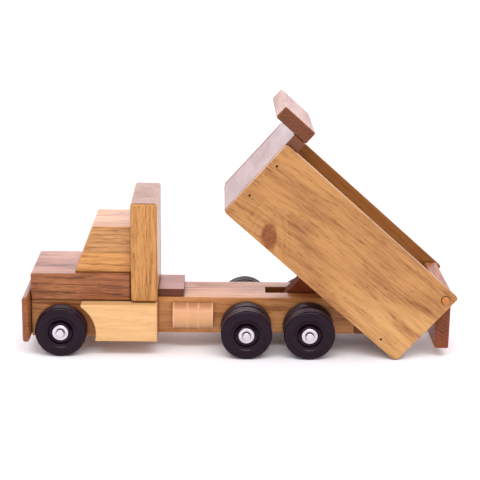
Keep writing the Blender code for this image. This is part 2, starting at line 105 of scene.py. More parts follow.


# ---------------------------------------------------------------- shader building
class Graph:
    """A material's node tree, with short calls for the nodes that these materials are made of."""

    def __init__(self, name):
        self.material = bpy.data.materials.new(name)
        self.material.use_nodes = True
        self.tree = self.material.node_tree
        self.shader = self.tree.nodes["Principled BSDF"]

    def node(self, kind, inputs=(), **settings):
        made = self.tree.nodes.new(kind)
        for key, value in settings.items():
            setattr(made, key, value)
        for key, value in dict(inputs).items():
            self.feed(made.inputs[key], value)
        return made

    def feed(self, socket, value):
        if isinstance(value, bpy.types.NodeSocket):
            self.tree.links.new(value, socket)
        else:
            socket.default_value = value

    def math(self, operation, first, second=0.0, third=0.0):
        return self.node("ShaderNodeMath", {0: first, 1: second, 2: third}, operation=operation).outputs[0]

    def vector(self, operation, first, second=(0, 0, 0)):
        made = self.node("ShaderNodeVectorMath", {0: first, 1: second}, operation=operation)
        return made.outputs["Value"] if operation in ("DOT_PRODUCT", "LENGTH") else made.outputs["Vector"]

    def noise(self, where, cells, detail=2.0, roughness=0.5, distortion=0.0, output="Fac"):
        """Noise with so many cells per metre on each of the three axes."""
        stretched = self.vector("MULTIPLY", where, cells)
        made = self.node("ShaderNodeTexNoise", {"Vector": stretched, "Scale": 1.0, "Detail": detail,
                                               "Roughness": roughness, "Distortion": distortion})
        return made.outputs[output]

    def oval(self, along, up, centre, halves, lean=0.0):
        """Distance from a leaning oval's centre, with 1 on the oval."""
        flat = self.node("ShaderNodeCombineXYZ", {0: along, 2: up}).outputs[0]
        local = self.node("ShaderNodeMapping", {
            "Vector": flat, "Location": (centre[0], 0, centre[1]), "Rotation": (0, math.radians(lean), 0),
            "Scale": (halves[0], 1, halves[1])}, vector_type="TEXTURE").outputs[0]
        return self.vector("LENGTH", local)

    def ramp(self, factor, stops):
        """Straight colour ramp through stops of (place, colour)."""
        made = self.node("ShaderNodeValToRGB", {"Fac": factor})
        elements = made.color_ramp.elements
        while len(elements) < len(stops):
            elements.new(0.5)
        for element, (place, colour) in zip(elements, stops):
            element.position = place
            element.color = (*colour, 1.0)
        return made.outputs["Color"]

    def spread(self, value, low, high, to_low=0.0, to_high=1.0):
        """Smooth step from to_low at low to to_high at high."""
        made = self.node("ShaderNodeMapRange", {"Value": value, "From Min": low, "From Max": high,
                                                "To Min": to_low, "To Max": to_high},
                         interpolation_type="SMOOTHSTEP")
        return made.outputs["Result"]

    def mix(self, factor, first, second, blend="MIX"):
        made = self.node("ShaderNodeMix", data_type="RGBA", blend_type=blend)
        self.feed(made.inputs["Factor"], factor)
        self.feed(made.inputs["A"], first if isinstance(first, bpy.types.NodeSocket) else (*first, 1.0))
        self.feed(made.inputs["B"], second if isinstance(second, bpy.types.NodeSocket) else (*second, 1.0))
        return made.outputs["Result"]

    def gain(self, factor, colour, gains):
        """The colour with each channel multiplied by its gain, where the factor is 1."""
        return self.mix(factor, colour, self.mix(1.0, colour, gains, "MULTIPLY"))

    def set(self, **values):
        """Set or link sockets of the Principled shader, with _ for the spaces in their names."""
        for key, value in values.items():
            self.feed(self.shader.inputs[key.replace("_", " ")], value)


def shade(colour, factor):
    return tuple(channel * factor for channel in colour)


def tinted(colour, gains):
    return tuple(channel * gain for channel, gain in zip(colour, gains))


def worn_and_highlit_edges(graph, radius):
    """1 on rounded edges, 0 on flats, from how far the rounded normal leaves the surface's own."""
    rounded = graph.node("ShaderNodeBevel", {"Radius": radius}, samples=4)
    own = graph.node("ShaderNodeNewGeometry")
    facing = graph.vector("DOT_PRODUCT", rounded.outputs["Normal"], own.outputs["Normal"])
    return graph.spread(facing, 1.0, 0.93)


def timber(name, light, dark, grain="X", tilted=False, pith=(0.02, -0.06), lean=0.06, ring=0.004,
           figure=0.35, fibre=0.5, blotch=0.35, pores=0.35, seed=0.0, knot=None, end=0.74, rough=0.36,
           coat=0.12, shine=0.2, wear_and_highlight=0.35, edge=(1.3, 1.3, 1.3), painted_slot_shade=None, painted_top_light=None, slant=None,
           patch=None):
    """Solid wood: growth rings around a pith line, fibres, pores and blotches, all along the grain.

    Tilted wood belongs to the tipped bed. The pith is where the tree's centre line crosses the two
    axes across the grain, lean is how far it drifts along the grain, and ring is the width of a year.
    Figure, fibre, blotch and pores are how strong the rings, fibres, blotches and pores show.
    Slant is how the fibres rise along the grain: (slope, bend).
    A knot is (along, up, half length, half width, lean in degrees).
    A patch is one paler or darker area, the wood's own tone on some pieces and painted shade on others:
    (along, up, half length, half width, gain in each channel).
    A painted slot shade darkens the inside of a slot: (half its width, lowest, highest).
    End is the tone of the end grain. Painted top light is the gain in each channel on surfaces that face up:
    painted light.
    Edge is the colour of the rounded edges, as a share of the light wood: paler, for rubbing with a painted
    highlight, or darker, for oil. Wear and highlight is how much of it shows.
    """
    graph = Graph(name)
    coordinates = graph.node("ShaderNodeTexCoord")
    place = coordinates.outputs["Object"]
    if tilted:
        place = graph.node("ShaderNodeMapping", {"Vector": place, "Location": PIVOT, "Rotation": (0, TIP, 0)},
                           vector_type="TEXTURE").outputs["Vector"]
    axes = graph.node("ShaderNodeSeparateXYZ", {0: place}).outputs
    order = {"X": (0, 1, 2), "Y": (1, 0, 2), "Z": (2, 1, 0)}[grain]
    along, across, level_up = (axes[index] for index in order)
    up = level_up
    if slant:
        rise = graph.math("MULTIPLY", along, graph.math("MULTIPLY_ADD", along, slant[1], slant[0]))
        up = graph.math("SUBTRACT", level_up, rise)
    wood = graph.node("ShaderNodeCombineXYZ", {0: along, 1: across, 2: up}).outputs[0]
    shifted = graph.vector("ADD", wood, tuple(seed * step for step in SEED_STEP))

    # growth rings, pushed aside by a knot
    wander = graph.noise(shifted, WANDER_CELLS, output="Color")
    wobble = graph.vector("SUBTRACT", wander, (0.5, 0.5, 0.5))
    wobble = graph.vector("MULTIPLY", wobble, (0, WANDER, WANDER))
    drift = graph.math("MULTIPLY", along, lean)
    from_pith = graph.node("ShaderNodeCombineXYZ", {
        1: graph.math("SUBTRACT", across, pith[0]),
        2: graph.math("ADD", graph.math("SUBTRACT", up, pith[1]), drift)}).outputs[0]
    radius = graph.vector("LENGTH", graph.vector("ADD", from_pith, wobble))
    if knot:
        ragged = graph.noise(shifted, KNOT_RIM_CELLS, detail=3)
        distance = graph.math("ADD", graph.oval(along, level_up, knot[0:2], knot[2:4], knot[4]),
                              graph.math("MULTIPLY", ragged, 0.5))
        radius = graph.math("MULTIPLY_ADD", graph.spread(distance, 3.0, 0.8), 0.009, radius)
    by_radius = graph.node("ShaderNodeCombineXYZ", {0: radius, 1: seed}).outputs[0]
    uneven = graph.noise(by_radius, (55, 1, 1), detail=1)
    count = graph.math("ADD", graph.math("DIVIDE", radius, ring), graph.math("MULTIPLY", uneven, 1.6))
    season = [(0.0, 0.10), (0.45, 0.30), (0.80, 0.85), (0.93, 1.0), (1.0, 0.10)]
    ring_tone = graph.ramp(graph.math("FRACT", count), [(when, (grey,) * 3) for when, grey in season])

    # fibres, pores and blotches
    fibres = graph.noise(shifted, FIBRE_CELLS, detail=3, roughness=0.66)
    fine = graph.noise(shifted, FINE_CELLS)
    patches = graph.noise(shifted, PATCH_CELLS, detail=3, distortion=0.4)
    dashes = graph.noise(shifted, DASH_CELLS, detail=1.5)
    dash_mask = graph.math("MULTIPLY", graph.spread(dashes, 0.60, 0.70), graph.spread(fibres, 0.42, 0.62))

    tone = graph.math("MULTIPLY", ring_tone, figure)
    for noise, strength in ((fibres, fibre * 2.2), (patches, blotch * 2.6), (fine, fibre * 1.5)):
        tone = graph.math("MULTIPLY_ADD", graph.math("SUBTRACT", noise, 0.5), strength, tone)
    tone = graph.math("ADD", tone, 0.34 - figure * 0.4)
    middle = tuple(a * 0.62 + b * 0.38 for a, b in zip(light, dark))
    colour = graph.ramp(tone, [(0.0, light), (0.48, middle), (1.0, dark)])
    pore_colour = tinted(dark, (0.55, 0.48, 0.42))
    colour = graph.mix(graph.math("MULTIPLY", dash_mask, pores), colour, pore_colour)
    if knot:
        swirl = graph.noise(shifted, KNOT_SWIRL_CELLS, detail=3, distortion=1.5)
        knot_colour = graph.ramp(swirl, [(0.35, tinted(dark, (1.25, 0.95, 0.75))),
                                         (0.65, tinted(dark, (0.62, 0.45, 0.35)))])
        core = graph.spread(distance, 1.42, 0.90)
        colour = graph.mix(graph.math("MULTIPLY", core, 0.85), colour, knot_colour)

    # darker end grain, an odd patch, which is the wood's tone on some pieces and painted shade on the cheeks,
    # tops painted lighter as painted light, and rounded edges rubbed paler with a painted highlight, or oiled
    # darker on some pieces
    direction = Vector([float(letter == grain) for letter in "XYZ"])
    if tilted:
        direction = Matrix.Rotation(TIP, 3, "Y") @ direction
    normal = coordinates.outputs["Normal"]
    endwise = graph.math("ABSOLUTE", graph.vector("DOT_PRODUCT", normal, direction))
    colour = graph.gain(graph.spread(endwise, 0.55, 0.97), colour, (end, end * 0.86, end * 0.80))
    if patch:
        reach = graph.math("ADD", graph.oval(along, level_up, patch[0:2], patch[2:4]),
                           graph.math("MULTIPLY", patches, 0.6))
        colour = graph.gain(graph.spread(reach, 1.5, 0.6), colour, patch[4])
    # surfaces that face up painted lighter: painted light on the tops
    if painted_top_light:
        upward = graph.vector("DOT_PRODUCT", normal, (0, 0, 1))
        colour = graph.gain(graph.spread(upward, 0.55, 0.95), colour, painted_top_light)
    # rounded edges paler with rubbing and a painted highlight, or darker with oil where the edge tone is
    # oiled
    rubbed_and_highlit = graph.math("MULTIPLY", worn_and_highlit_edges(graph, WEAR_AND_HIGHLIGHT_RADIUS), wear_and_highlight)
    colour = graph.mix(rubbed_and_highlit, colour, tinted(light, edge))

    # painted shade in joints, corners and between parts, where ambient occlusion is low, with oil in the
    # joints
    crevice = graph.node("ShaderNodeAmbientOcclusion", {"Distance": CREVICE_REACH}, samples=6).outputs["AO"]
    colour = graph.mix(graph.spread(crevice, 0.80, 0.25, 0.0, 0.85), colour, pore_colour)
    # painted shade inside the slot
    if painted_slot_shade:
        half, lowest, highest = painted_slot_shade
        within = graph.math("LESS_THAN", graph.math("ABSOLUTE", axes[1]), half)
        within = graph.math("MULTIPLY", within, graph.math("GREATER_THAN", axes[2], lowest))
        within = graph.math("MULTIPLY", within, graph.math("LESS_THAN", axes[2], highest))
        colour = graph.mix(graph.math("MULTIPLY", within, 0.85), colour, shade(pore_colour, 1.4))

    height = graph.math("MULTIPLY_ADD", dash_mask, -0.8, graph.math("MULTIPLY", fibres, 0.7))
    height = graph.math("MULTIPLY_ADD", fine, 0.25, height)
    bump = graph.node("ShaderNodeBump", {"Height": height, "Strength": 0.22, "Distance": 0.0004})
    gloss = graph.spread(graph.math("ADD", patches, graph.math("MULTIPLY", dash_mask, 0.25)), 0.25, 0.9,
                         rough - 0.05, rough + 0.13)
    graph.set(Base_Color=colour, Roughness=gloss, Normal=bump.outputs["Normal"])
    graph.set(Specular_IOR_Level=shine, Coat_Weight=coat, Coat_Roughness=0.22)
    return graph.material


def across_axle(graph, face=0.85, side=0.25):
    """1 where a surface faces across the axles, such as a tread, and 0 on a wheel's or a cap's face.

    Face and side are the shares of the normal along the axle at which it starts and is complete.
    """
    normal = graph.node("ShaderNodeTexCoord").outputs["Normal"]
    sideways = graph.math("ABSOLUTE", graph.vector("DOT_PRODUCT", normal, (0, 1, 0)))
    return graph.spread(sideways, face, side)


def moulded_plastic(name, colour, tread):
    """Black moulded plastic with scuffs; its treads paler with dust and painted sheen, its rounded edges
    paler with rubbing and a painted highlight.
    """
    graph = Graph(name)
    place = graph.node("ShaderNodeTexCoord").outputs["Object"]
    grain = graph.noise(place, (1400, 1400, 1400))
    scuffs = graph.noise(place, (90, 260, 90), detail=4, roughness=0.65)
    scuff_mask = graph.spread(scuffs, 0.52, 0.78)
    tint = graph.mix(graph.math("MULTIPLY", scuff_mask, 0.5), colour, shade(colour, 2.1))
    # treads painted paler and browner, in patches: dust with painted sheen and reflection
    tread_variation = graph.noise(place, (300, 700, 300), detail=3)
    on_tread = across_axle(graph, 0.30, 0.06)
    tint = graph.mix(graph.math("MULTIPLY", on_tread, graph.spread(tread_variation, 0.25, 0.65, 0.5, 1.0)), tint, tread)
    # rounded edges painted paler: rubbing with a painted highlight
    rub_and_highlight = graph.math("MULTIPLY", worn_and_highlit_edges(graph, 0.0010), 0.25)
    tint = graph.mix(rub_and_highlight, tint, shade(colour, 3.0))
    bump = graph.node("ShaderNodeBump", {"Height": grain, "Strength": 0.06, "Distance": 0.0002})
    dull = graph.math("MULTIPLY_ADD", on_tread, 0.36, graph.spread(scuffs, 0.3, 0.75, 0.10, 0.20))
    graph.set(Base_Color=tint, Roughness=dull, Normal=bump.outputs["Normal"], Specular_IOR_Level=0.18)
    return graph.material


def plated(name, colour, low, high):
    """Plated steel, between two roughnesses, with faint smudges, hairline scratches and painted shade on
    surfaces that face across the axles.
    """
    graph = Graph(name)
    place = graph.node("ShaderNodeTexCoord").outputs["Object"]
    smudge = graph.noise(place, (160, 160, 160), detail=3)
    hairs = graph.noise(place, (2600, 300, 900))
    tint = graph.mix(graph.spread(smudge, 0.35, 0.75), colour, shade(colour, 0.86))
    # surfaces that face across the axles, such as the sides of a cap's crown, painted dark: painted shade and
    # reflection
    tint = graph.mix(graph.math("MULTIPLY", across_axle(graph), 0.9), tint, shade(colour, 0.10))
    bump = graph.node("ShaderNodeBump", {"Height": hairs, "Strength": 0.04, "Distance": 0.0001})
    graph.set(Base_Color=tint, Roughness=graph.spread(smudge, 0.3, 0.8, low, high), Metallic=1.0,
              Normal=bump.outputs["Normal"])
    return graph.material


# ---------------------------------------------------------------- modelling helpers
def piece(name, bm, material, body, replaced=(), bevel=0.0, sharp=None):
    """Turn a bmesh, whose points are in the row frame, into a piece that rides on a body."""
    bmesh.ops.recalc_face_normals(bm, faces=bm.faces)
    mesh = bpy.data.meshes.new(name)
    bm.to_mesh(mesh)
    bm.free()
    mesh.materials.append(material)
    mesh.shade_smooth()
    if sharp is not None:
        mesh.set_sharp_from_angle(angle=math.radians(sharp))
    obj = bpy.data.objects.new(name, mesh)
    bpy.context.scene.collection.objects.link(obj)
    if bevel:
        rounding = obj.modifiers.new("rounded_edges", "BEVEL")
        rounding.width = bevel
        rounding.segments = BEVEL_SEGMENTS
        rounding.limit_method = "ANGLE"
        rounding.angle_limit = BEVEL_ANGLE
        rounding.harden_normals = True
    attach(obj, body)
    if replaced:
        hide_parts(*replaced)
    return obj


def block(name, low, high, material, body, replaced=(), bevel=0.001, at=LEVEL, slices=()):
    """A board or block with rounded edges. Each slice is a plane (point, normal) that saws it off."""
    low, high = Vector(low), Vector(high)
    bm = bmesh.new()
    bmesh.ops.create_cube(bm, size=1.0)
    for vert in bm.verts:
        vert.co = Vector(low[i] + (vert.co[i] + 0.5) * (high[i] - low[i]) for i in range(3))
    for point, normal in slices:
        everything = list(bm.verts) + list(bm.edges) + list(bm.faces)
        bmesh.ops.bisect_plane(bm, geom=everything, plane_co=point, plane_no=normal, clear_outer=True)
        bmesh.ops.holes_fill(bm, edges=[edge for edge in bm.edges if edge.is_boundary])
    bm.transform(at)
    return piece(name, bm, material, body, replaced, bevel)


def sawn(name, outline, y_from, y_to, material, body, replaced=(), bevel=0.001, at=LEVEL,
         holes=()):
    """A board sawn to an outline in the XZ plane, between two Y values, with round holes (x, z, radius)."""
    bm = bmesh.new()
    loops = [outline] + [arc(x, z, radius, 0, 345, 23) for x, z, radius in holes]
    rims = {y_from: [], y_to: []}
    for loop in loops:
        near, far = ([bm.verts.new((x, y, z)) for x, z in loop] for y in (y_from, y_to))
        for index in range(len(loop)):
            after = (index + 1) % len(loop)
            rims[y_from].append(bm.edges.new((near[index], near[after])))
            rims[y_to].append(bm.edges.new((far[index], far[after])))
            bm.faces.new((near[index], far[index], far[after], near[after]))
    for edges in rims.values():
        bmesh.ops.triangle_fill(bm, use_beauty=True, use_dissolve=True, edges=edges)
    bm.transform(at)
    return piece(name, bm, material, body, replaced, bevel)


def arc(centre_x, centre_z, radius, start, end, count):
    """Points on an arc in so many equal steps, from one angle to another, in degrees."""
    points = []
    for step in range(count + 1):
        angle = math.radians(start + (end - start) * step / count)
        points.append((centre_x + radius * math.cos(angle), centre_z + radius * math.sin(angle)))
    return points


def turned(name, profile, at, material, body, replaced=(), steps=48, sweep=360, sharp=38,
           closed=False):
    """A profile of (radius, height) pairs turned about the local Z of the matrix at."""
    bm = bmesh.new()
    full = sweep >= 360
    rows = steps if full else steps + 1
    rings = []
    for radius, height in profile:
        if radius < 1e-7:
            rings.append([bm.verts.new((0, 0, height))] * rows)
            continue
        ring = []
        for step in range(rows):
            angle = math.radians(sweep * step / steps)
            ring.append(bm.verts.new((radius * math.cos(angle), radius * math.sin(angle), height)))
        rings.append(ring)
    pairs = list(zip(rings, rings[1:]))
    if closed:
        pairs.append((rings[-1], rings[0]))
    for upper, lower in pairs:
        for step in range(steps):
            after = (step + 1) % rows
            corners = []
            for vert in (upper[step], upper[after], lower[after], lower[step]):
                if vert not in corners:
                    corners.append(vert)
            if len(corners) > 2:
                bm.faces.new(corners)
    if not full:
        edge = [ring[0] for ring in rings] + [ring[-1] for ring in reversed(rings)]
        outline = []
        for vert in edge:
            if vert not in outline:
                outline.append(vert)
        bm.faces.new(outline)
    bm.transform(at)
    return piece(name, bm, material, body, replaced, sharp=sharp)


def outward(x, y, z, sign):
    """A frame at a point whose local Z faces out of the left (-Y) or the right (+Y) side."""
    return Matrix.Translation((x, y, z)) @ Matrix.Rotation(-sign * math.pi / 2, 4, "X")


def dress(node, material):
    """Give a CAD node a better material."""
    obj = frame["nodes"][node]
    obj.data.materials.clear()
    obj.data.materials.append(material)


# ---------------------------------------------------------------- materials
# light and dark tone of each timber, and the tone of oiled edges
WALNUT = ((0.310, 0.112, 0.040), (0.085, 0.023, 0.008))
RED_WALNUT = ((0.220, 0.050, 0.014), (0.085, 0.019, 0.006))
GOLDEN = ((0.600, 0.290, 0.086), (0.260, 0.092, 0.020))
STREAKED = ((0.560, 0.285, 0.105), (0.210, 0.080, 0.024))
AMBER = ((0.560, 0.250, 0.083), (0.210, 0.066, 0.016))
PALE = ((0.690, 0.425, 0.190), (0.480, 0.240, 0.080))
OILED = (0.90, 0.66, 0.46)

hood_wood = timber("hood_walnut", *(shade(tone, 1.08) for tone in WALNUT), pith=(0.03, 0.02), lean=0.05,
                   ring=0.0045, figure=0.4, fibre=0.80, blotch=0.7, pores=0.8, seed=1.3,
                   patch=(-0.180, 0.064, 0.026, 0.018, (1.30, 1.38, 1.34)))
# the cheek's patch is painted shade under the hood, behind the front wheel
cheek_wood = timber("cheek_walnut", *AMBER, pith=(0.02, 0.09), lean=0.10, ring=0.005, figure=0.6,
                    fibre=0.9, blotch=1.0, seed=2.1, patch=(-0.148, 0.036, 0.025, 0.042, (0.72, 0.58, 0.44)))
bumper_wood = timber("bumper_walnut", *WALNUT, grain="Y", pith=(-0.23, -0.02), fibre=0.8, seed=3.7,
                     end=0.9)
# the block's sides painted darker and its top painted lighter: painted shade and painted light
rest_wood = timber("rest_walnut", *(shade(tone, 0.6) for tone in RED_WALNUT), pith=(0.03, -0.02),
                   seed=4.4, coat=0.18, painted_top_light=(2.7, 2.9, 2.6))
rear_wood = timber("rear_block_walnut", *WALNUT, grain="Y", pith=(0.05, -0.03), seed=5.2)
cab_lower_wood = timber("cab_golden", *GOLDEN, pith=(0.0, 0.02), lean=0.09, ring=0.006,
                        figure=0.45, fibre=0.7, blotch=0.7, seed=6.1, wear_and_highlight=0.5, edge=OILED)
cab_upper_wood = timber("cab_streaked", *STREAKED, pith=(0.02, 0.06), lean=0.03, ring=0.0026,
                        figure=0.40, fibre=0.7, pores=0.4, blotch=0.4, seed=7.9)
tall_wood = timber("cab_back_oak", *(shade(tone, 0.86) for tone in GOLDEN), grain="Z",
                   pith=(-0.09, -0.10), lean=0.03, ring=0.0030, figure=0.30, fibre=0.85, pores=1.0,
                   seed=8.3, end=0.5, wear_and_highlight=0.5, edge=OILED)
beam_wood = timber("beam_amber", *AMBER, pith=(0.03, 0.01), lean=0.02, ring=0.005,
                   fibre=0.6, pores=0.4, blotch=0.9, seed=9.6, painted_slot_shade=(0.0095, 0.0168, 0.0535))
fender_wood = timber("fender_maple", *PALE, pith=(0.03, -0.05), lean=0.07, ring=0.006, figure=0.24,
                     fibre=0.45, blotch=0.40, pores=0.3, seed=10.7, wear_and_highlight=0.6, edge=OILED)
# the drum's rims and ribs painted paler: wear with a painted highlight
drum_wood = timber("drum_maple", (0.640, 0.355, 0.180), (0.450, 0.200, 0.078), grain="Z",
                   pith=(0.0, 0.035), ring=0.003, figure=0.10, fibre=0.12, blotch=0.15, pores=0.05,
                   seed=11.4, wear_and_highlight=1.0)
panel_wood = {
    "left": timber("panel_left_golden", (0.450, 0.220, 0.070), (0.200, 0.068, 0.018), tilted=True,
                   pith=(0.045, 0.075), lean=0.02, ring=0.0034, figure=0.26, fibre=0.7, blotch=0.85,
                   pores=0.75, seed=12.9, knot=(-0.0985, 0.0480, 0.0150, 0.0085, 48.5),
                   slant=(0.06, -0.25), patch=(0.092, 0.040, 0.100, 0.065, (1.28, 1.42, 1.60))),
    # the far panel's timber is darker all over, its tone taken from its inner face in shade: painted shade
    "right": timber("panel_right_golden_painted_shade", (0.322, 0.124, 0.030), (0.152, 0.045, 0.010), tilted=True,
                    pith=(-0.03, 0.03), lean=0.05, ring=0.0050, figure=0.40, fibre=0.75, blotch=0.6,
                    pores=0.75, seed=21.3)}
floor_wood = timber("bed_floor_oak", (0.360, 0.150, 0.046), (0.180, 0.062, 0.018), tilted=True,
                    pith=(0.0, 0.10), seed=13.8)
# the headboard's walnut made darker: painted shade under the visor
headboard_wood = timber("headboard_walnut", *(shade(tone, 0.7) for tone in WALNUT), grain="Y",
                        tilted=True, pith=(-0.10, 0.05), figure=0.15, fibre=0.3, blotch=0.2, pores=0.2,
                        seed=14.2, coat=0.35)
visor_wood = timber("visor_walnut", *WALNUT, grain="Y", tilted=True, pith=(-0.20, 0.20), figure=0.25,
                    seed=15.6, end=0.50)
hinge_wood = timber("hinge_walnut", *RED_WALNUT, tilted=True, pith=(0.02, 0.03), seed=16.5, coat=0.0,
                    shine=0.06, rough=0.65)
# the tailgate's top painted paler and bluer: painted sheen
gate_wood = timber("tailgate_walnut", *(tinted(tone, (1.08, 0.82, 0.56)) for tone in WALNUT),
                   grain="Y", pith=(0.24, 0.10), ring=0.0032, figure=0.60, fibre=0.7,
                   seed=17.3, end=0.60, shine=0.22, rough=0.42, painted_top_light=(1.35, 1.7, 2.5))
peg_wood = timber("peg_maple", (0.520, 0.220, 0.070), (0.300, 0.110, 0.030), grain="Y", seed=18.1,
                  end=1.0)
# the second colour is the treads' dust with painted sheen
black = moulded_plastic("wheel_plastic", (0.009, 0.0015, 0.007), (0.062, 0.038, 0.040))
chrome = plated("cap_chrome", (0.68, 0.63, 0.69), 0.12, 0.26)
steel = plated("rod_steel", (0.40, 0.39, 0.40), 0.28, 0.42)
nail_steel = plated("nail_steel", (0.05, 0.035, 0.028), 0.40, 0.60)


# ---------------------------------------------------------------- frame, hood and cab
def build_front():
    for node, material in (("chassis_beam", beam_wood), ("rear_block", rear_wood),
                           ("bed_rest_block", rest_wood), ("front_cheek_left", cheek_wood),
                           ("front_cheek_right", cheek_wood)):
        dress(node, material)
    for axle in ("front", "middle", "rear"):
        dress("axle_" + axle, steel)
    for node, material, bevel, slot in (("bumper", bumper_wood, 0.0030, "walnut"),
                                        ("hood_block", hood_wood, 0.0018, "walnut"),
                                        ("cab_back", tall_wood, 0.0029, "oak")):
        low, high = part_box(node)
        block(node + "_board", low, high, material, "chassis", (node,), bevel)

    # one sloping cut makes the windscreen across both layers of the cab
    lower_low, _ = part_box("cab_lower")
    upper_low, upper_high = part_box("cab_upper")
    foot = Vector((lower_low.x, 0, lower_low.z))
    head = Vector((upper_low.x + WINDSCREEN_RUN * (upper_high.z - upper_low.z), 0, upper_high.z))
    slope = head - foot
    windscreen = (foot, Vector((-slope.z, 0, slope.x)))
    for node, material, slot, bevel in (("cab_lower", cab_lower_wood, "maple", 0.0004),
                                        ("cab_upper", cab_upper_wood, "oak", 0.0006)):
        low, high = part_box(node)
        low.x = lower_low.x - 0.001  # a little too long, for the cut to trim
        low.z = max(low.z - GLUE_OVERLAP, lower_low.z)
        block(node + "_block", low, high, material, "chassis", (node,), bevel, slices=[windscreen])


def build_fenders():
    low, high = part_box("fender_left")
    axle = JOINTS["front_wheel_left_spin"]["pos_m"]
    centre_x, centre_z = axle[0] + ARCH_OFFSET[0], axle[2] + ARCH_OFFSET[1]
    top = math.degrees(math.acos((low.x - centre_x) / ARCH_RADIUS))
    bottom = -math.degrees(math.asin((centre_z - low.z) / ARCH_RADIUS))
    outline = [(low.x, high.z)] + arc(centre_x, centre_z, ARCH_RADIUS, top, bottom, 28)
    outline += [(high.x, low.z), (high.x, high.z)]
    for side, _ in SIDES:
        low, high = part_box("fender_" + side)
        sawn("fender_board_" + side, outline, low.y, high.y, fender_wood, "chassis", ("fender_" + side,),
             0.0020)


def drum_profile(length):
    """Rims at both ends and two thin ribs, with soft shoulders, on a slightly smaller barrel."""
    band, barrel = 0.0137, 0.0131
    rim, ribs, rib = 0.0013, (0.0142, 0.0252), 0.0010
    soft = 0.0001
    bands = [(0.0, rim)] + [(start, start + rib) for start in ribs] + [(length - rim, length)]
    profile = [(0.0, 0.0)]
    for start, end in bands:
        profile += [(barrel, start), (band - soft, start + soft), (band, start + 3 * soft)]
        profile += [(band, end - 3 * soft), (band - soft, end - soft), (barrel, end)]
    return profile + [(0.0, length)]


def build_drums():
    for side, sign in SIDES:
        low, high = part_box("fuel_drum_" + side)
        flat = high.y if sign < 0 else low.y
        at = Matrix.Translation((low.x, flat, (low.z + high.z) / 2)) @ Matrix.Rotation(math.pi / 2, 4, "Y")
        if sign < 0:
            at = at @ Matrix.Rotation(math.pi, 4, "Z")
        turned("drum_" + side, drum_profile(high.x - low.x), at, drum_wood, "chassis",
               ("fuel_drum_" + side,), sweep=180, sharp=30)


# ---------------------------------------------------------------- wheels
def wheel_profile(radius, width):
    """Hub, dished recess, side wall with a raised ring, rounded shoulders and a grooved tread."""
    bore, shoulder, back_edge = 0.0035, 0.0028, 0.0013
    # (radius, height from the outer face)
    face = [(bore, -0.0003), (0.0083, -0.0003), (0.0086, -0.0006), (0.0087, -0.0041), (0.0090, -0.0044),
            (0.0116, -0.0044), (0.0120, -0.0041), (0.0124, -0.0019), (0.0128, -0.0015), (0.0136, -0.0014),
            (0.0146, -0.0014), (0.0150, -0.0012), (0.0157, -0.0004), (0.0163, -0.0001), (0.0180, 0.0),
            (0.0207, 0.0), (0.0210, -0.0002), (0.0213, -0.0003), (0.0216, -0.0002)]
    profile = [(r, width + h) for r, h in face]
    profile += arc(radius - shoulder, width - shoulder, shoulder, 76, 0, 7)
    half_open, half_floor, depth = 0.0006, 0.0003, 0.0004
    for groove in (0.0105, 0.0078, 0.0051):
        profile += [(radius, groove + half_open), (radius - depth, groove + half_floor),
                    (radius - depth, groove - half_floor), (radius, groove - half_open)]
    profile += arc(radius - back_edge, back_edge, back_edge, 0, -90, 4)
    return profile + [(bore, 0.0)]


def cap_profile(height):
    """A flat flange with a rolled rim around a raised, rounded crown."""
    crown = [(0.0, 0.0), (0.0018, -0.00005), (0.0031, -0.0002), (0.0037, -0.0005), (0.0040, -0.0009),
             (0.0042, -0.0015)]
    flange = [(0.0042, 0.0007), (0.0043, 0.0004), (0.0046, 0.0004), (0.0048, 0.0007), (0.0056, 0.00078),
              (0.0070, 0.00070), (0.0076, 0.0005), (0.0078, 0.0002), (0.0077, 0.0), (0.0, 0.0)]
    return [(r, height + h) for r, h in crown] + flange


def build_wheels():
    for name, joint in JOINTS.items():
        if not name.endswith("_spin"):
            continue
        node = joint["child"]
        sign = -1 if "left" in node else 1
        low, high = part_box(node)
        inner_face = high.y if sign < 0 else low.y
        x, _, z = joint["pos_m"]
        at = outward(x, inner_face, z, sign)
        profile = wheel_profile(z - CLEAR_OF_GROUND, high.y - low.y)
        turned(node + "_tyre", profile, at, black, node, (node,), closed=True, steps=80)
    for axle in ("front", "middle", "rear"):
        for side, sign in SIDES:
            node = "axle_cap_" + axle + "_" + side
            low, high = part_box(node)
            root = high.y if sign < 0 else low.y
            at = outward((low.x + high.x) / 2, root, (low.z + high.z) / 2, sign)
            turned(node + "_dome", cap_profile(high.y - low.y), at, chrome, "chassis", (node,))


# ---------------------------------------------------------------- bed and tailgate
def side_outline():
    """A bed side with its four corners rounded, each by its own radius."""
    bottom, top = BED_BOTTOM, BED_BOTTOM + SIDE_HEIGHT
    front, rear = BED_REAR - BED_LENGTH, BED_REAR
    corners = ((rear, -1, top, -1, 0.0025, 90), (front, 1, top, -1, 0.0030, 180),
               (front, 1, bottom, 1, 0.0030, 270), (rear, -1, bottom, 1, 0.0045, 360))
    outline = []
    for x, inward, z, upward, radius, end in corners:
        outline += arc(x + inward * radius, z + upward * radius, radius, end - 90, end, 8)
    return outline


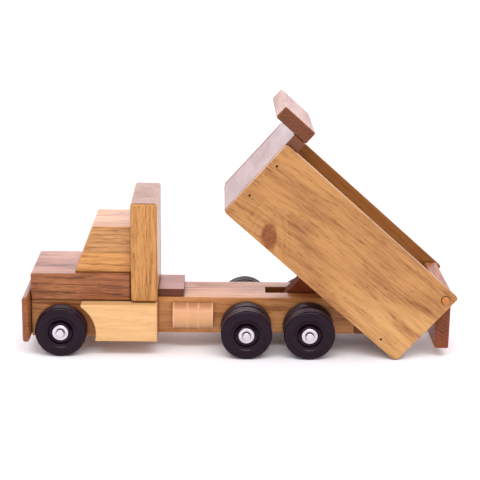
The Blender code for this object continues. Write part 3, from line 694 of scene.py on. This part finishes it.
def build_bed():
    dress("bed_floor", floor_wood)
    dress("hinge_block", hinge_wood)
    front = BED_REAR - BED_LENGTH
    headboard_half = BED_INSIDE - LOOSE
    block("headboard_board", (front, -headboard_half, BED_BOTTOM),
          (front + BOARD, headboard_half, BED_BOTTOM + HEADBOARD_HEIGHT), headboard_wood, "bed",
          ("headboard",), 0.0012, at=BED)
    visor_rear = front + BOARD + VISOR_SETBACK
    visor_bottom = BED_BOTTOM + HEADBOARD_HEIGHT + LOOSE
    block("visor_board", (visor_rear - VISOR_LENGTH, -VISOR_HALF, visor_bottom),
          (visor_rear, VISOR_HALF, visor_bottom + BOARD), visor_wood, "bed", ("visor",), 0.0018,
          at=BED)
    for side, sign in SIDES:
        sawn("bed_panel_" + side, side_outline(), sign * BED_INSIDE, sign * BED_HALF, panel_wood[side],
             "bed", ("bed_side_" + side,), 0.0010, at=BED, holes=((PEG_X, PEG_Z, PEG_HOLE),))
        for number, (forward, up) in enumerate(BRADS, start=1):
            node = "brad_" + side + "_" + str(number)
            centre = BED @ Vector((BED_REAR - forward, sign * BED_HALF, BED_BOTTOM + up))
            profile = [(0.0, 0.00008), (0.0010, 0.00006), (0.0013, 0.0), (0.0012, -0.004), (0.0, -0.004)]
            turned("nail_" + side + "_" + str(number), profile, outward(*centre, sign), nail_steel, "bed",
                   (node,), steps=20)


def build_tailgate():
    low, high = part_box("tailgate")
    block("tailgate_board", low, high, gate_wood, "tailgate", ("tailgate",), 0.0020)
    for side, sign in SIDES:
        node = "tailgate_peg_" + side
        low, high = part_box(node)
        length = high.y - low.y
        root = high.y if sign < 0 else low.y
        profile = [(0.0, length), (0.0028, length - 0.00005), (0.0035, length - 0.0003),
                   (0.00385, length - 0.0008), (0.0040, length - 0.0014), (0.0040, 0.0), (0.0, 0.0)]
        turned("peg_" + side, profile, outward(GATE.x, root, GATE.z, sign), peg_wood, "tailgate", (node,),
               steps=40)


# ---------------------------------------------------------------- stage, light and camera
def build_stage():
    """A plain pale floor."""
    bpy.ops.mesh.primitive_plane_add(size=24, location=(0, 0, 0))
    floor = bpy.context.object
    floor.name = "studio_floor"
    graph = Graph("pale_floor")
    grain = graph.noise(graph.node("ShaderNodeTexCoord").outputs["Object"], (3, 3, 3))
    graph.set(Base_Color=graph.mix(grain, (0.90, 0.90, 0.90), (0.93, 0.93, 0.93)), Roughness=0.9,
              Specular_IOR_Level=0.1)
    floor.data.materials.append(graph.material)


def softbox(name, location, target, size, power, colour):
    """An area light of size (wide, high), aimed at a point and out of the camera's sight."""
    light = bpy.data.lights.new(name, "AREA")
    light.shape = "RECTANGLE"
    light.size, light.size_y = size
    light.energy = power
    light.color = colour
    obj = bpy.data.objects.new(name, light)
    bpy.context.scene.collection.objects.link(obj)
    obj.location = location
    obj.rotation_mode = "QUATERNION"
    obj.rotation_quaternion = (Vector(target) - Vector(location)).to_track_quat("-Z", "Y")
    obj.visible_camera = False


def build_light():
    """A bright white room, a long soft key light in front of the truck and a wide one behind it."""
    world = bpy.data.worlds.new("studio")
    bpy.context.scene.world = world
    world.use_nodes = True
    background = world.node_tree.nodes["Background"]
    background.inputs["Color"].default_value = (1.0, 0.96, 1.03, 1.0)
    background.inputs["Strength"].default_value = 1.15
    softbox("key", (0.0, -0.85, 1.35), (0, 0, 0.08), (1.8, 0.35), 13, (1.0, 0.99, 0.98))
    softbox("behind", (0.0, 4.2, 1.6), (0, 0, 0.2), (6.6, 2.8), 96, (1.0, 0.90, 0.98))
    bpy.context.scene.view_settings.view_transform = "Standard"


def build_camera():
    """A long lens, level with the horizon apart from a small downward tilt, on the truck's left side."""
    data = bpy.data.cameras.new("camera")
    data.sensor_width = 36.0
    data.lens = CAMERA_LENS
    data.clip_end = 50
    camera = bpy.data.objects.new("camera", data)
    bpy.context.scene.collection.objects.link(camera)
    forward = Vector((math.sin(CAMERA_YAW) * math.cos(CAMERA_PITCH),
                      math.cos(CAMERA_YAW) * math.cos(CAMERA_PITCH), -math.sin(CAMERA_PITCH)))
    right = forward.cross(Vector((0, 0, 1))).normalized()
    up = right.cross(forward)
    rolled_right = math.cos(CAMERA_ROLL) * right + math.sin(CAMERA_ROLL) * up
    rolled_up = -math.sin(CAMERA_ROLL) * right + math.cos(CAMERA_ROLL) * up
    axes = Matrix((rolled_right, rolled_up, -forward)).transposed()
    camera.matrix_world = Matrix.Translation(CAMERA_AT) @ axes.to_4x4()
    bpy.context.scene.camera = camera


build_front()
build_fenders()
build_drums()
build_wheels()
build_bed()
build_tailgate()
build_stage()
build_light()
build_camera()
